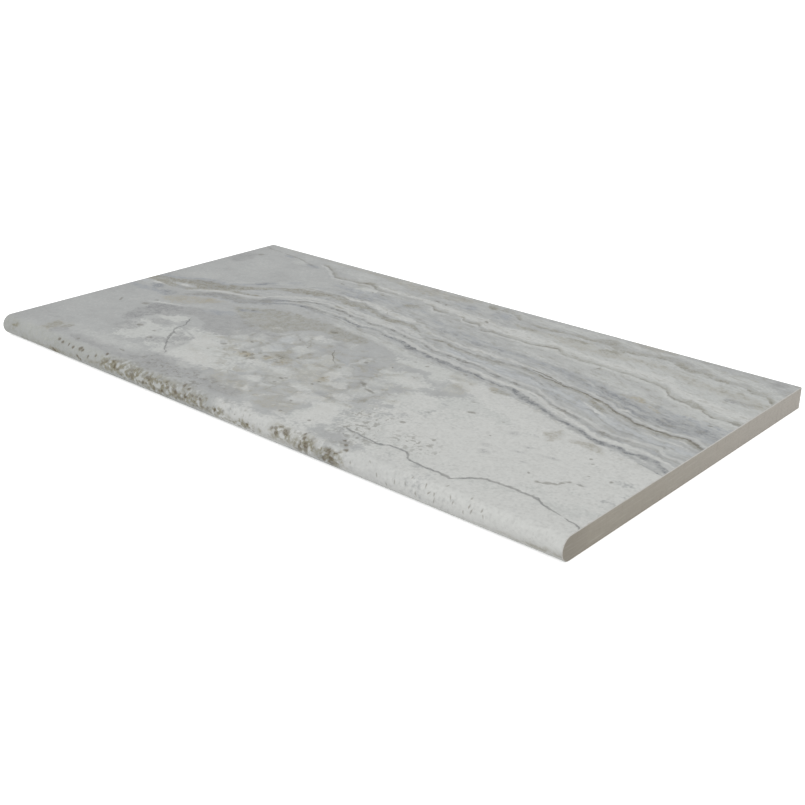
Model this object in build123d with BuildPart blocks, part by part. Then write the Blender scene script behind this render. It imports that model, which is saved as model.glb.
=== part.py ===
"""Porcelain pool coping tile: a flat slab with a full bullnose along its pool-side edge.

The tile lies face up. X runs along the pool edge, -Y points to the pool, and Z is up.
The origin is the middle of the underside's outline.
"""

import math
import os

from build123d import *

# Driving dimensions, in millimetres and degrees
LENGTH = 600.0  # along the pool edge
DEPTH = 330.0  # from the tip of the nose to the back edge
THICKNESS = 18.0
ARRIS = 0.5  # narrow bevel ground along every sawn edge
KEY_CELL = 24.0  # side of one square recess pressed into the underside
KEY_RIB = 6.0  # rib left standing between two recesses
KEY_DEPTH = 0.8
KEY_DRAFT = 30.0  # slope of a recess wall, which lets the tile leave the punch
KEY_BORDER = 14.0  # least plain border between the recesses and the edge of the flat

# The nose is a half circle over the whole thickness
nose_radius = THICKNESS / 2
nose_tip = -DEPTH / 2
flat_front = nose_tip + nose_radius
back = DEPTH / 2

# Keying grid: as many whole recesses as the flat of the underside holds
key_pitch = KEY_CELL + KEY_RIB
flat_depth = back - flat_front
flat_middle = (flat_front + back) / 2


def recesses_along(flat_length):
    """The number of recesses, with ribs between them, that fit inside the plain borders."""
    return max(1, math.floor((flat_length - 2 * KEY_BORDER + KEY_RIB) / key_pitch))


# Punch of one keying recess, narrower at its top
with BuildPart() as key_punch:
    with BuildSketch(Plane.XY):
        Rectangle(KEY_CELL, KEY_CELL)
    extrude(amount=KEY_DEPTH, taper=KEY_DRAFT)

with BuildPart() as coping_tile:
    # Slab with the bullnose
    with BuildSketch(Plane.YZ):
        with BuildLine():
            underside = Line((back, 0), (flat_front, 0))
            nose = ThreePointArc(underside @ 1, (nose_tip, nose_radius), (flat_front, THICKNESS))
            face = Line(nose @ 1, (back, THICKNESS))
            Line(face @ 1, underside @ 0)
        make_face()
    extrude(amount=LENGTH / 2, both=True)

    # Arris on the sawn ends and the sawn back edge
    sawn_ends = coping_tile.faces().filter_by(Axis.X)
    sawn_back = coping_tile.faces().sort_by(Axis.Y)[-1]
    back_edges = sawn_back.edges().filter_by(Axis.X)
    chamfer(sawn_ends.edges() + back_edges, ARRIS)

    # Keying recesses in the underside
    with Locations((0, flat_middle)):
        with GridLocations(key_pitch, key_pitch, recesses_along(LENGTH), recesses_along(flat_depth)):
            add(key_punch.part, mode=Mode.SUBTRACT)

coping_tile.part.label = "coping_tile"

os.makedirs("parts", exist_ok=True)
export_step(coping_tile.part, "parts/coping_tile.step")
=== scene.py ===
"""Looks of a porcelain pool coping tile: its printed glaze, its bare body and a plain pale stage."""

import math

import bmesh
import bpy
import numpy as np
from bpy.props import FloatProperty, FloatVectorProperty, PointerProperty
from mathutils import Matrix, Vector, noise


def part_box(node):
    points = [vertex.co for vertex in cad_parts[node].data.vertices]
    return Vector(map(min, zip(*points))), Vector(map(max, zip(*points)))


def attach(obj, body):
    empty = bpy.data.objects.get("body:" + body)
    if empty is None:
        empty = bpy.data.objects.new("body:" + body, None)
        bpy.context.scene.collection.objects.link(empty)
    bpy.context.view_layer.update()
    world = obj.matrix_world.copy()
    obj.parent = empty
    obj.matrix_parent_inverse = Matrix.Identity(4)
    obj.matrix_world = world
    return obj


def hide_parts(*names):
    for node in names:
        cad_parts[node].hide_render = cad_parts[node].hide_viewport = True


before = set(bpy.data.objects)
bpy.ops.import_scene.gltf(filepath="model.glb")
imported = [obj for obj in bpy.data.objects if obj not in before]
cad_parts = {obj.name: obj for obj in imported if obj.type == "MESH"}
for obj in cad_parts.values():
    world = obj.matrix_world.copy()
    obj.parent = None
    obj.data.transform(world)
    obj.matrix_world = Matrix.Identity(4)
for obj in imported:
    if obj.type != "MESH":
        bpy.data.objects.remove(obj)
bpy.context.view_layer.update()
TILE_LOW, TILE_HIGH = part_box("coping_tile")

bl_info = {
    "name": "Pool Coping Tile",
    "version": (1, 0, 0),
    "blender": (4, 5, 0),
    "location": "View3D > Sidebar > Coping",
    "description": "Builds a bullnosed porcelain coping tile with a stone print, and the stage it lies on",
    "category": "Object",
}

MM = 0.001
GLAZED, BARE, GROUND = range(3)  # the tile's finishes

# Rows of the glazed face's mesh: round the nose, over a strip behind it, and over the rest
NOSE_ROWS = 49
STRIP_ROWS = 25
STRIP = 30 * MM
REST_ROWS = 112

WELD = 0.001 * MM  # points closer than this become one
SHARP = math.radians(28)  # edges steeper than this stay sharp

# Relief, in millimetres
SWELL_SIZE = 55
LUMPS = ((1.5, 3.4), (0.8, 1.9), (0.9, 11))  # share and size of the crust's lumps
PIT_SPREAD = 1.4  # a pit's rim, in radii
RELIEF_FADE = 4  # the relief dies out over this border

# Flat layout of the mesh, in shares of the sheet
MARGIN = 0.01
ENDS_UP = 0.005
ENDS_PITCH = 0.04
BACK_UP = 0.08
UNDER_UP = 0.105
UNDER_WIDE = 0.58  # scale of the back edge and the underside against the glazed face
UNDER_HIGH = 0.55

# Stage: lengths in metres
FLOOR_REACH = 40
FLOOR_GRAIN = 0.004
FLOOR_GLOW = 0.6  # strength
LAMP_SIDE = (0.15, -0.5, 0.85)  # from the tile toward the lamp
LAMP_SPREAD = math.radians(70)
CAMERA_RIGHT = 22.355 * MM
CAMERA_DOWN = 28.006 * MM
FILM_WIDTH = 36  # in millimetres
SIGHT = 200  # how far the camera sees

# The print's places are millimetres on the unrolled face: along the pool edge from the middle of the tile,
# then back from the line where the nose begins, so places on the nose are negative.

# Lines and strokes: along, back, half width
UPPER_VEIN = [
    (-6, 322, 2), (-2, 318, 3), (4, 312, 5), (9, 309, 4), (16, 311, 2.5), (24, 312, 2.5), (32, 309, 2.6),
    (40, 303, 2.8), (50, 299, 2), (62, 298, 2.2), (74, 297, 2.8), (84, 298, 2.8), (95, 299, 2.2),
    (108, 300, 3), (118, 300, 3.2), (127, 303, 4.4), (136, 305, 6), (145, 301, 4.6), (152, 297, 4.6),
    (164, 297, 3.6), (175, 299, 3.4), (185, 303, 3.6), (195, 305, 4.4), (204, 300, 4), (212, 296, 4.4),
    (221, 295, 5.6), (229, 297, 4.6), (235, 293, 3.4), (246, 290, 3.2), (258, 290, 3.2), (266, 292, 3.4),
    (272, 288, 3.2), (279, 284, 3.4), (288, 283, 4), (295, 277, 4), (302, 269, 4),
]
SEAM_LEFT = [
    (-302, 309, 1.4), (-280, 306, 1.4), (-262, 304, 1.5), (-250, 303, 1.6), (-240, 301, 1.6),
    (-228, 298, 1.6), (-215, 294, 2), (-205, 290, 1.6), (-198, 287, 0),
]
SEAM = [
    (-214, 304, 0), (-206, 303, 1.2), (-198, 301, 1.8), (-190, 297, 2.2), (-181, 291, 2.2),
    (-172, 284, 2.2), (-165, 280, 2.4), (-150, 281, 1.8), (-138, 283, 2.2), (-130, 286, 3.4),
    (-122, 285, 3), (-113, 280, 1.8), (-100, 278, 1.6), (-88, 278, 1.5), (-67, 278, 1), (-52, 277, 0.6),
    (-42, 277, 2.4), (-38, 276, 2), (-33, 270, 1.8), (-25, 268, 2.4), (-17, 269, 1.2), (-5, 269, 1),
    (2, 270, 1.4), (6, 265, 1.8), (14, 263, 2), (22, 265, 2.6), (27, 262, 2.4), (29, 259, 0), (31, 255, 0),
    (34, 255, 1.8), (40, 255, 1.8), (44, 257, 1.6), (56, 256, 1.6), (66, 256, 1.6), (76, 256, 1.6),
    (86, 254, 1.8), (92, 256, 2.2), (100, 260, 2.6), (110, 261, 2.4), (114, 258, 1.8), (121, 254, 1.8),
    (130, 252, 2), (152, 251, 1.8), (170, 252, 1.6), (180, 250, 1.8), (192, 251, 1.6), (205, 249, 1.6),
    (214, 248, 1.8), (222, 244, 2), (227, 240, 2.2), (230, 235, 2.2), (238, 231, 2), (250, 229, 2.4),
    (258, 225, 3), (264, 227, 2.4), (270, 221, 1.8), (278, 219, 1.7), (288, 219, 1.7), (296, 219, 2.2),
    (302, 217, 1),
]
BROWN_BAND = [
    (-302, 160, 8), (-290, 161, 8.5), (-280, 162, 9), (-270, 168, 9), (-260, 174, 9.5), (-250, 177, 10.5),
    (-240, 178, 12.5), (-230, 176, 13), (-222, 182, 12), (-214, 187, 11), (-206, 192, 10), (-198, 201, 7),
    (-190, 208, 5.5), (-182, 214, 6), (-174, 219, 6), (-166, 224, 7.5), (-158, 226, 9.5), (-150, 228, 9.5),
    (-142, 231, 8), (-134, 233, 7), (-125, 235, 6.2), (-115, 235, 6), (-105, 232, 7), (-97, 231, 7),
    (-91, 232, 6.5), (-84, 232, 5.5), (-75, 230, 4.6), (-65, 226, 4), (-55, 222, 4), (-45, 220, 4.2),
    (-36, 219, 4.4), (-28, 220.5, 4), (-20, 221.5, 3.6), (-12, 219, 3.2), (-5, 215, 2.8), (2, 213, 2.2),
    (7, 210, 0.6), (12, 207, 2.4), (22, 207, 3), (30, 209, 3.4), (38, 207, 3.4), (48, 203, 3), (60, 201, 3),
    (75, 199.5, 3), (88, 199, 3), (100, 201, 3), (110, 202, 2.8), (120, 201, 2.6), (130, 199.5, 2.4),
    (140, 198, 2.2), (152, 196, 2), (166, 194, 0),
]
BROWN_LOBE = [
    (-302, 156, 3), (-285, 155, 4), (-275, 154, 4.4), (-265, 153.5, 4.6), (-255, 154, 4.4),
    (-245, 156, 4.4), (-238, 161, 5), (-232, 166, 0),
]
BROWN_UNDER = [
    (-214, 176, 0), (-206, 180, 4), (-198, 182, 4), (-190, 184, 3.6), (-182, 186, 3), (-174, 187.5, 1.6),
    (-168, 189, 0),
]
BAND_EDGE = [
    (-262, 181, 0), (-254, 182, 2.4), (-244, 186, 2.4), (-232, 187, 2), (-218, 192, 2), (-206, 200, 0),
    (-170, 228, 0), (-160, 235, 2), (-146, 237, 2.2), (-130, 239, 2), (-112, 239, 1.6), (-100, 236, 1.4),
    (-92, 237, 2.4), (-80, 233, 2.4), (-70, 231, 2.2), (-60, 227, 2.2), (-50, 223.5, 2.4), (-40, 222, 2.8),
    (-30, 222.5, 2.6), (-20, 223.5, 2.2), (-14, 221.5, 2), (-8, 218, 1.8), (0, 213.5, 1.2), (6, 210, 0),
    (10, 207, 0), (16, 207, 1.8), (30, 208, 2.4), (40, 206, 2.4), (50, 204.5, 2.2), (70, 202, 2.4),
    (90, 202, 2.4), (104, 204, 2.4), (120, 203.5, 2), (134, 201, 0),
]
BROWN_SMEAR = [(182, 188, 0), (190, 186, 3), (200, 181, 5), (212, 177, 6), (222, 172, 4), (232, 166, 0)]
MAIN_VEIN = [
    (112, 204, 0), (126, 203, 1), (140, 200, 1.4), (152, 198, 1.7), (162, 196, 1.8), (172, 195, 1.8),
    (182, 193, 1.9), (192, 190.5, 2), (202, 188, 2.1), (209, 185, 2.2), (216, 181, 2.2), (222, 178, 2.2),
    (228, 176, 2.4), (235, 173, 2.2), (243, 170, 2), (252, 169, 2), (262, 168, 2.2), (270, 168, 2),
    (276, 170, 2.2), (284, 170, 2.2), (291, 167, 2.2), (302, 162, 2.2),
]
MAIN_VEIN_TWIN = [
    (122, 207.5, 0), (126, 206.5, 1.2), (140, 203.5, 1.2), (152, 201, 1.2), (160, 198, 1), (167, 195, 0),
]
GREY_LINE = [
    (-160, 188, 0), (-152, 192, 1.6), (-140, 200, 2.2), (-126, 207, 2.6), (-115, 210, 2.6),
    (-100, 208, 2.4), (-85, 207, 2.4), (-72, 203, 2.4), (-60, 204, 2.2), (-50, 201, 2), (-30, 202, 2.4),
    (-20, 201, 2.4), (-8, 198, 2.2), (5, 195, 2.2), (18, 193, 2.4), (28, 190, 2.4), (36, 187, 2.2),
    (46, 186, 2.2), (60, 185, 2.2), (76, 183, 2.2), (90, 183, 2.2), (98, 180, 2.2), (110, 176, 2.4),
    (124, 174.5, 2.2), (138, 174, 2), (150, 172, 2), (158, 167, 2.2), (170, 161, 2.4), (180, 156, 2.6),
    (190, 153, 2.8), (204, 149, 2.6), (217, 145, 2.8), (230, 140, 2.8), (246, 138, 2.4), (262, 140, 2.6),
    (275, 140, 2.6), (283, 134, 2.6), (302, 130, 2.4),
]
BLUE_LINE = [
    (-158, 174, 0), (-150, 182, 1.8), (-140, 189, 2.2), (-126, 193, 2.2), (-112, 195.5, 2), (-90, 194, 2),
    (-75, 193, 2), (-60, 190, 2.4), (-50, 188, 3.4), (-40, 191, 2.4), (-30, 191, 2.2), (-22, 188, 2.2),
    (-14, 186, 2.4), (0, 185, 3.2), (8, 182, 3.6), (16, 179, 3.6), (24, 177, 3), (35, 175, 2.2),
    (45, 173, 3.6), (55, 172, 4), (65, 171, 4), (75, 169, 4), (85, 167, 3.8), (95, 167, 2.4),
    (110, 163.5, 2.2), (122, 162, 2.4), (134, 163, 3), (142, 159, 4), (152, 155, 4.6), (162, 151, 4.2),
    (170, 149, 3.2), (180, 145, 2.6), (190, 140, 2.4), (205, 136, 2.4), (218, 132, 2.6), (227, 127, 3.4),
    (240, 124, 3.8), (257, 125, 3.6), (264, 122, 2.6), (272, 123, 3.6), (282, 124, 4), (292, 118, 3.8),
    (302, 112, 3),
]
BLUE_LINE_LOW = [(270, 116, 0), (282, 113, 1.4), (292, 110, 1.6), (302, 107, 1.4)]
FAINT_LINE = [
    (-92, 191, 0), (-86, 190, 1.4), (-60, 186, 1.2), (-40, 181, 1.4), (-28, 180, 1.4), (-12, 177, 1.3),
    (-4, 175, 0),
]
BLUE_STREAK = [
    (-226, 197, 0), (-218, 201, 3), (-208, 209, 5), (-202, 215, 6), (-196, 223, 5), (-188, 233, 4),
    (-180, 241, 4), (-173, 247, 0),
]
WHITE_UNDER_BROWN = [
    (-246, 146, 0), (-240, 152, 2), (-230, 163, 4), (-220, 170, 4.5), (-208, 174, 4.2), (-195, 177, 4),
    (-180, 181, 4), (-171, 188, 4.6), (-165, 197, 5), (-158, 203, 5.5), (-147, 209, 6), (-136, 215, 6.5),
    (-126, 219, 5), (-115, 220, 3), (-100, 218, 3), (-80, 215, 5), (-60, 212, 7), (-40, 211, 6.5),
    (-20, 211, 5.5), (-4, 208, 5), (8, 203, 3), (18, 199, 0),
]
WHITE_OVER_BROWN = [
    (-128, 243, 0), (-118, 243, 3), (-105, 242, 5), (-90, 243, 5), (-75, 241, 6), (-60, 237, 6),
    (-45, 233, 6), (-30, 232, 6), (-18, 231, 3.5), (-6, 226, 3), (6, 219, 3), (20, 216, 3), (40, 214, 3.4),
    (60, 212, 4.5), (80, 212, 4.5), (100, 212, 4), (120, 211, 3.5), (135, 209, 3), (150, 205, 2.4),
    (165, 202, 2), (180, 200, 0),
]
WHITE_UPPER = [
    (-136, 288, 0), (-120, 287, 4), (-90, 286, 6), (-60, 285, 6), (-30, 281, 7), (-10, 278, 8), (4, 276, 9),
    (18, 276, 9), (30, 270, 11), (45, 268, 10), (60, 269, 11), (80, 267, 10), (100, 268, 7), (120, 264, 6),
    (150, 262, 6.5), (180, 262, 7.5), (205, 262, 8), (220, 258, 8), (232, 248, 8), (245, 243, 8),
    (260, 240, 8), (275, 235, 9), (290, 233, 10), (302, 232, 10),
]
PALE_RIGHT = [
    (40, 268, 0), (70, 266, 26), (100, 264, 40), (150, 262, 46), (200, 256, 52), (250, 246, 58),
    (302, 236, 64),
]
WHITE_TOP = [
    (20, 316, 0), (40, 311, 6), (60, 310, 8), (100, 311, 8), (130, 315, 5), (150, 311, 7), (176, 309, 7),
    (198, 315, 4), (214, 311, 7), (240, 303, 9), (262, 302, 9), (280, 296, 8), (302, 286, 8),
]
WHITE_FRONT = [
    (84, 146, 0), (96, 146, 8), (112, 144, 12), (140, 136, 16), (170, 129, 17), (200, 119, 17),
    (230, 110, 16), (260, 104, 17), (302, 95, 17),
]
WHITE_LOWER = [
    (90, 176, 0), (100, 172, 2.4), (120, 169, 3), (140, 168, 3), (156, 165, 2.6), (166, 160, 3.4),
    (178, 154, 3.8), (190, 148, 3.6), (204, 143, 3.6), (216, 139, 3.6), (226, 134, 3.2), (240, 131, 3.2),
    (258, 132, 3.4), (272, 131, 3), (284, 128, 2.6), (302, 121, 2),
]
CREAM_STRIP = [
    (-84, 184, 0), (-70, 180, 5), (-50, 177, 7), (-30, 176, 8), (0, 172, 9), (20, 166, 9), (50, 161, 8),
    (80, 157, 7), (110, 154, 6), (140, 148, 0),
]
BLUE_BAND = [
    (-165, 262, 0), (-150, 262, 5), (-130, 262, 8), (-110, 262, 9), (-90, 262, 10), (-60, 262, 11),
    (-40, 260, 7), (-20, 252, 6), (0, 242, 8), (20, 235, 9), (40, 230, 9), (60, 227, 8), (84, 226, 7),
    (110, 224, 8), (130, 221, 8), (150, 219, 10), (165, 216, 11), (180, 212, 12), (195, 205, 13),
    (210, 200, 15), (225, 196, 18), (240, 193, 19), (260, 191, 19), (280, 190, 19), (302, 189, 19),
]
BLUE_CORE = [
    (-4, 232, 0), (4, 230, 4), (14, 228, 5), (24, 227, 4), (36, 226, 3.6), (50, 223, 4.6), (60, 222, 3.4),
    (72, 222, 2), (120, 221, 0), (135, 219, 2), (150, 218, 3), (160, 218, 4), (172, 215, 6), (184, 211, 7),
    (196, 203, 9), (210, 198, 10), (225, 193, 11), (240, 189, 11), (260, 187, 11), (280, 188, 10),
    (302, 188, 8),
]
FROST_BAND = [
    (30, 200, 0), (50, 195, 6), (70, 193, 8), (90, 192, 9), (110, 189, 9), (140, 185, 8), (170, 180, 9),
    (200, 170, 8), (225, 160, 8), (250, 155, 7), (280, 152, 7), (302, 148, 7),
]
GREY_BELT = [
    (66, 240, 0), (90, 247, 8), (110, 245, 10), (150, 239, 10), (190, 238, 9), (210, 234, 9), (230, 222, 8),
    (250, 215, 6), (264, 210, 0),
]
BEIGE_UPPER = [
    (40, 288, 0), (52, 286, 6), (70, 284, 7), (90, 284, 7), (110, 282, 11), (130, 281, 12), (150, 281, 12),
    (162, 280, 9), (175, 283, 7), (190, 284, 7), (205, 281, 7), (220, 276, 9), (240, 270, 9),
    (260, 268, 10), (280, 266, 11), (302, 258, 10),
]
BEIGE_TOP = [
    (-302, 316, 2), (-120, 314, 7), (-90, 310, 11), (-60, 309, 11), (-30, 311, 9), (-14, 314, 5),
    (-6, 318, 0),
]
WARM_BELT = [
    (-246, 122, 0), (-238, 126, 7), (-225, 131, 12), (-212, 137, 13), (-200, 143, 10), (-190, 150, 6),
    (-182, 155, 0),
]
GREY_BAND = [
    (-238, 138, 0), (-231, 146, 5), (-222, 155, 7), (-214, 161, 9), (-206, 165, 10), (-196, 167, 10),
    (-186, 168, 9), (-176, 169, 8.5), (-166, 175, 9), (-158, 184, 9.5), (-150, 190, 8), (-138, 196, 6),
    (-125, 197, 6.5), (-112, 196, 6), (-100, 194, 4.5), (-86, 192, 0),
]
GREY_ARM = [
    (-234, 104, 2), (-228, 104, 8), (-216, 107, 12), (-205, 110, 13), (-190, 115, 13), (-176, 118, 11),
    (-160, 118, 16), (-140, 116, 25), (-120, 112, 23), (-110, 116, 16), (-100, 122, 0),
]
BROWN_FIELD = [
    (-178, 152, 0), (-162, 149, 9), (-142, 150, 20), (-120, 149, 27), (-100, 147, 30), (-88, 152, 25),
    (-75, 162, 15), (-60, 164, 12), (-40, 163, 13), (-25, 161, 11), (-8, 158, 0),
]
MIDDLE_GREY = [
    (-6, 140, 0), (4, 134, 8), (14, 126, 14), (26, 116, 13), (36, 106, 10), (46, 94, 5), (58, 85, 4),
    (66, 72, 5), (74, 60, 0),
]
PALE_EDGE = [(-244, 106, 0), (-236, 110, 1.6), (-224, 114, 2), (-211, 118, 1.8), (-198, 125, 0)]
BROWN_THREAD = [
    (-76, 128, 0), (-60, 128, 0), (-49, 128, 0.9), (-46, 123, 1.1), (-43, 119, 0.6), (-36, 122, 0),
    (-24, 129, 0.5), (-20, 125, 1.1), (-16, 120, 1.3), (-10, 116, 1.1), (-6, 112, 0.8), (0, 107, 0.6),
    (4, 103, 0),
]
FRONT_CRACK = [
    (92, 23, 0), (96, 22, 1.2), (112, 20, 1.2), (118, 19, 1.2), (131, 18, 1.2), (134, 21, 1.2),
    (148, 21, 1.2), (154, 18, 1.2), (158, 15, 1.3), (170, 12, 1.3), (184, 11, 1.2), (192, 11, 1.3),
    (197, 10, 1.3), (200, 13, 1.4), (205, 16, 1.5), (210, 21, 1.5), (215, 24, 1.5), (224, 25, 1.4),
    (233, 26, 1.4), (242, 25, 1.3), (256, 25, 1.3), (262, 22, 1.3), (269, 19, 1.3), (277, 17, 1.1),
    (283, 16, 0.4), (286, 15, 1), (293, 13, 1.2), (302, 7, 1.2),
]
NOSE_FOOT = [
    (-302, -19, 2), (-230, -18, 3), (-200, -17, 3), (-160, -14, 5), (-140, -12, 8), (-110, -12, 9),
    (-90, -12, 9), (-70, -13, 8), (-50, -14, 6), (-30, -15, 5), (-10, -16, 4.5), (10, -15, 4.5),
    (30, -15, 4.5), (45, -17, 3), (55, -14, 5), (70, -13, 6), (85, -13, 8), (105, -13, 9), (115, -14, 5),
    (125, -17, 2), (150, -19, 1.5), (230, -19, 2), (250, -18, 3), (280, -17, 4), (302, -17, 4),
]

# Steep lines: back, along, half width
LEFT_CRACK = [
    (29, -118, 0), (32, -122, 1), (35, -126, 1.2), (40, -132, 1.3), (45, -137, 1.4), (53, -145, 1.6),
    (57, -150, 2.4), (62, -153, 1.8), (70, -157, 1.5), (74, -162, 1.4), (78, -164, 1.3), (87, -164, 1.3),
    (93, -168, 1.3), (99, -172, 1.2), (104, -175, 0),
]
WHITE_ARC = [(-3, -5, 1.5), (4, -4, 2), (12, -1, 2.6), (20, 2, 2.8), (27, 7, 3), (32, 14, 3), (35, 22, 0)]
GREY_ARC = [
    (18, -120, 0), (26, -122, 4), (36, -126, 6), (44, -128, 7), (52, -128, 6), (60, -129, 5), (67, -132, 5),
    (72, -137, 5), (76, -146, 4), (79, -153, 0),
]

# The line that the bands follow: along, back
FLOW = [
    (-302, 150), (-250, 166), (-210, 186), (-170, 205), (-140, 214), (-100, 215), (-50, 207), (0, 200),
    (50, 192), (100, 187), (150, 180), (200, 163), (250, 147), (302, 139),
]

# Fields: along, back, the two half lengths, and the turn in degrees of those that are turned
LOBED_MIDDLE = [(-20, 84, 122, 82)]
PALE_FIELDS = [
    (-112, 56, 78, 38, -6), (-184, 91, 20, 10, 10), (-186, 56, 26, 28, 20), (-146, 60, 38, 30),
    (-116, 268, 18, 8), (210, 70, 140, 58), (160, 40, 104, 48), (250, 20, 96, 54), (152, 102, 54, 38),
    (100, 90, 26, 28), (60, 28, 20, 38), (65, 120, 28, 16), (60, 150, 44, 12, -6),
]
BRIGHT_FIELDS = [(206, 62, 150, 66, 6), (250, -6, 110, 40), (62, 26, 16, 30)]
BEIGE_FIELDS = [
    (-246, 11, 14, 14), (-30, 20, 36, 20), (24, 20, 24, 17), (104, 132, 13, 14), (238, 113, 20, 7, -4),
    (209, 113, 11, 10), (4, 84, 24, 30), (-18, 57, 16, 9), (-44, 92, 18, 9), (96, 150, 22, 8),
    (170, 318, 34, 8), (30, 70, 18, 14),
]
GREY_FIELDS = [
    (-185, 78, 16, 8), (-200, 52, 15, 18, 16), (-148, 46, 20, 9, 12), (-150, 73, 10, 7),
    (-199, 96, 14, 9, 20), (-142, 62, 11, 12), (-178, 5, 44, 9), (-286, 268, 18, 22), (40, 57, 18, 7, 8),
    (286, 312, 14, 8), (-232, 8, 7, 12), (280, 257, 22, 7, -8), (-98, 10, 58, 16), (-106, 22, 26, 14),
    (-98, 114, 24, 15), (-34, 12, 32, 13),
]
DARK_GREY_FIELDS = [
    (-219, 86, 16, 30), (-215, 106, 22, 11, 20), (-212, 162, 14, 8, 20), (-158, 183, 10, 13, 30),
]
BROWN_FIELDS = [
    (64, 286, 13, 6), (112, 289, 15, 5), (148, 286, 14, 8), (-90, 235, 6, 6), (-94, 226, 5, 4),
    (256, 231, 13, 5, -25), (-54, 264, 15, 8), (-94, 268, 5, 3), (-130, 279, 9, 5), (-100, 214, 11, 4),
    (132, 151, 13, 6), (-43, 91, 14, 8), (-36, 221, 12, 5), (6, 312, 6, 8, -50), (76, 298, 14, 5),
    (-54, 163, 7, 4), (5, 104, 8, 6), (-129, 287, 9, 6), (68, 66, 5, 6), (-247, 9, 11, 12),
    (-236, 16, 5, 8),
]
BLUE_FIELDS = [
    (-274, 142, 11, 8, -12), (-250, 135, 12, 10), (-150, 190, 12, 12, 30), (25, 297, 14, 11, -20),
    (-12, 297, 22, 8), (-252, 300, 11, 4), (-170, 280, 8, 3), (-210, 292, 16, 4, -10),
    (-276, 131, 34, 7, 4), (-252, 154, 10, 4), (-166, 130, 20, 9, 20), (-150, 152, 16, 5, 20),
    (-108, 250, 22, 8),
]
SLATE_FIELDS = [
    (-271, 143, 17, 10, -25), (-249, 138, 19, 11, -10), (-203, 214, 15, 8, 50), (-149, 155, 5, 4),
    (-157, 149, 4, 3),
]
FROST_FIELDS = [(-70, 120, 12, 12), (-62, 100, 12, 8), (-296, 147, 13, 6)]
OCHRE_FIELDS = [
    (218, 211, 18, 7, -12), (239, 201, 12, 3, -30), (-202, 147, 8, 7, 20), (126, 153, 7, 5),
    (-34, 82, 9, 12), (-52, 80, 6, 6), (-72, 74, 12, 8), (14, 76, 8, 10),
]
WHITE_LOBES = [
    (-49, 143, 11, 6, -6), (17, 88, 13, 11), (34, 42, 20, 13, 10), (-27, 40, 17, 9), (-14, 26, 8, 7),
    (68, 118, 24, 9), (16, 50, 8, 7), (60, 26, 16, 28, 8), (100, 96, 16, 22), (52, 64, 13, 9),
    (-96, 40, 46, 22), (-112, 70, 24, 14, 10), (10, 4, 14, 6), (44, 6, 18, 7), (-22, 68, 22, 9),
    (-46, 66, 14, 8), (30, 78, 12, 8),
]
PALE_LOBES = [
    (-150, 302, 42, 14), (-180, 17, 48, 17), (50, 98, 12, 10), (-40, 86, 12, 8), (20, 76, 14, 8),
    (-20, 42, 14, 8), (-66, 106, 10, 7), (-104, 98, 9, 8), (84, 138, 16, 8), (-20, 96, 14, 9),
    (-70, 90, 10, 6), (-24, 66, 46, 22), (20, 60, 30, 14), (100, 128, 14, 10), (-44, 112, 16, 12),
    (-60, 74, 18, 10), (-4, 80, 20, 10),
]
PALE_PATCHES = [
    (50, 253, 14, 7), (-30, 253, 16, 7), (10, 216, 14, 6), (70, 206, 18, 5), (-30, 37, 13, 8),
    (-10, 49, 12, 8), (50, 97, 12, 10), (30, 85, 11, 8), (10, 73, 11, 7), (50, 73, 9, 7), (-150, 85, 11, 7),
    (-110, 84, 11, 7), (-190, 229, 11, 9), (-150, 22, 16, 10), (70, 300, 18, 6), (-230, 292, 14, 10),
    (-90, 22, 14, 8),
]
GREY_PATCHES = [
    (-90, 121, 14, 9), (-110, 109, 12, 9), (-28, 144, 11, 7), (270, 156, 12, 5), (-250, 156, 12, 5),
]
WHITE_STREAKS = [
    (-253, 162, 9, 3, 10), (200, 185, 9, 2, -16), (250, 166, 8, 2), (285, 164, 9, 2, -14),
    (203, 173, 22, 2.4, -28), (-282, 150, 14, 3), (272, 158, 24, 2, -4), (222, 186, 8, 3),
]
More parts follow.
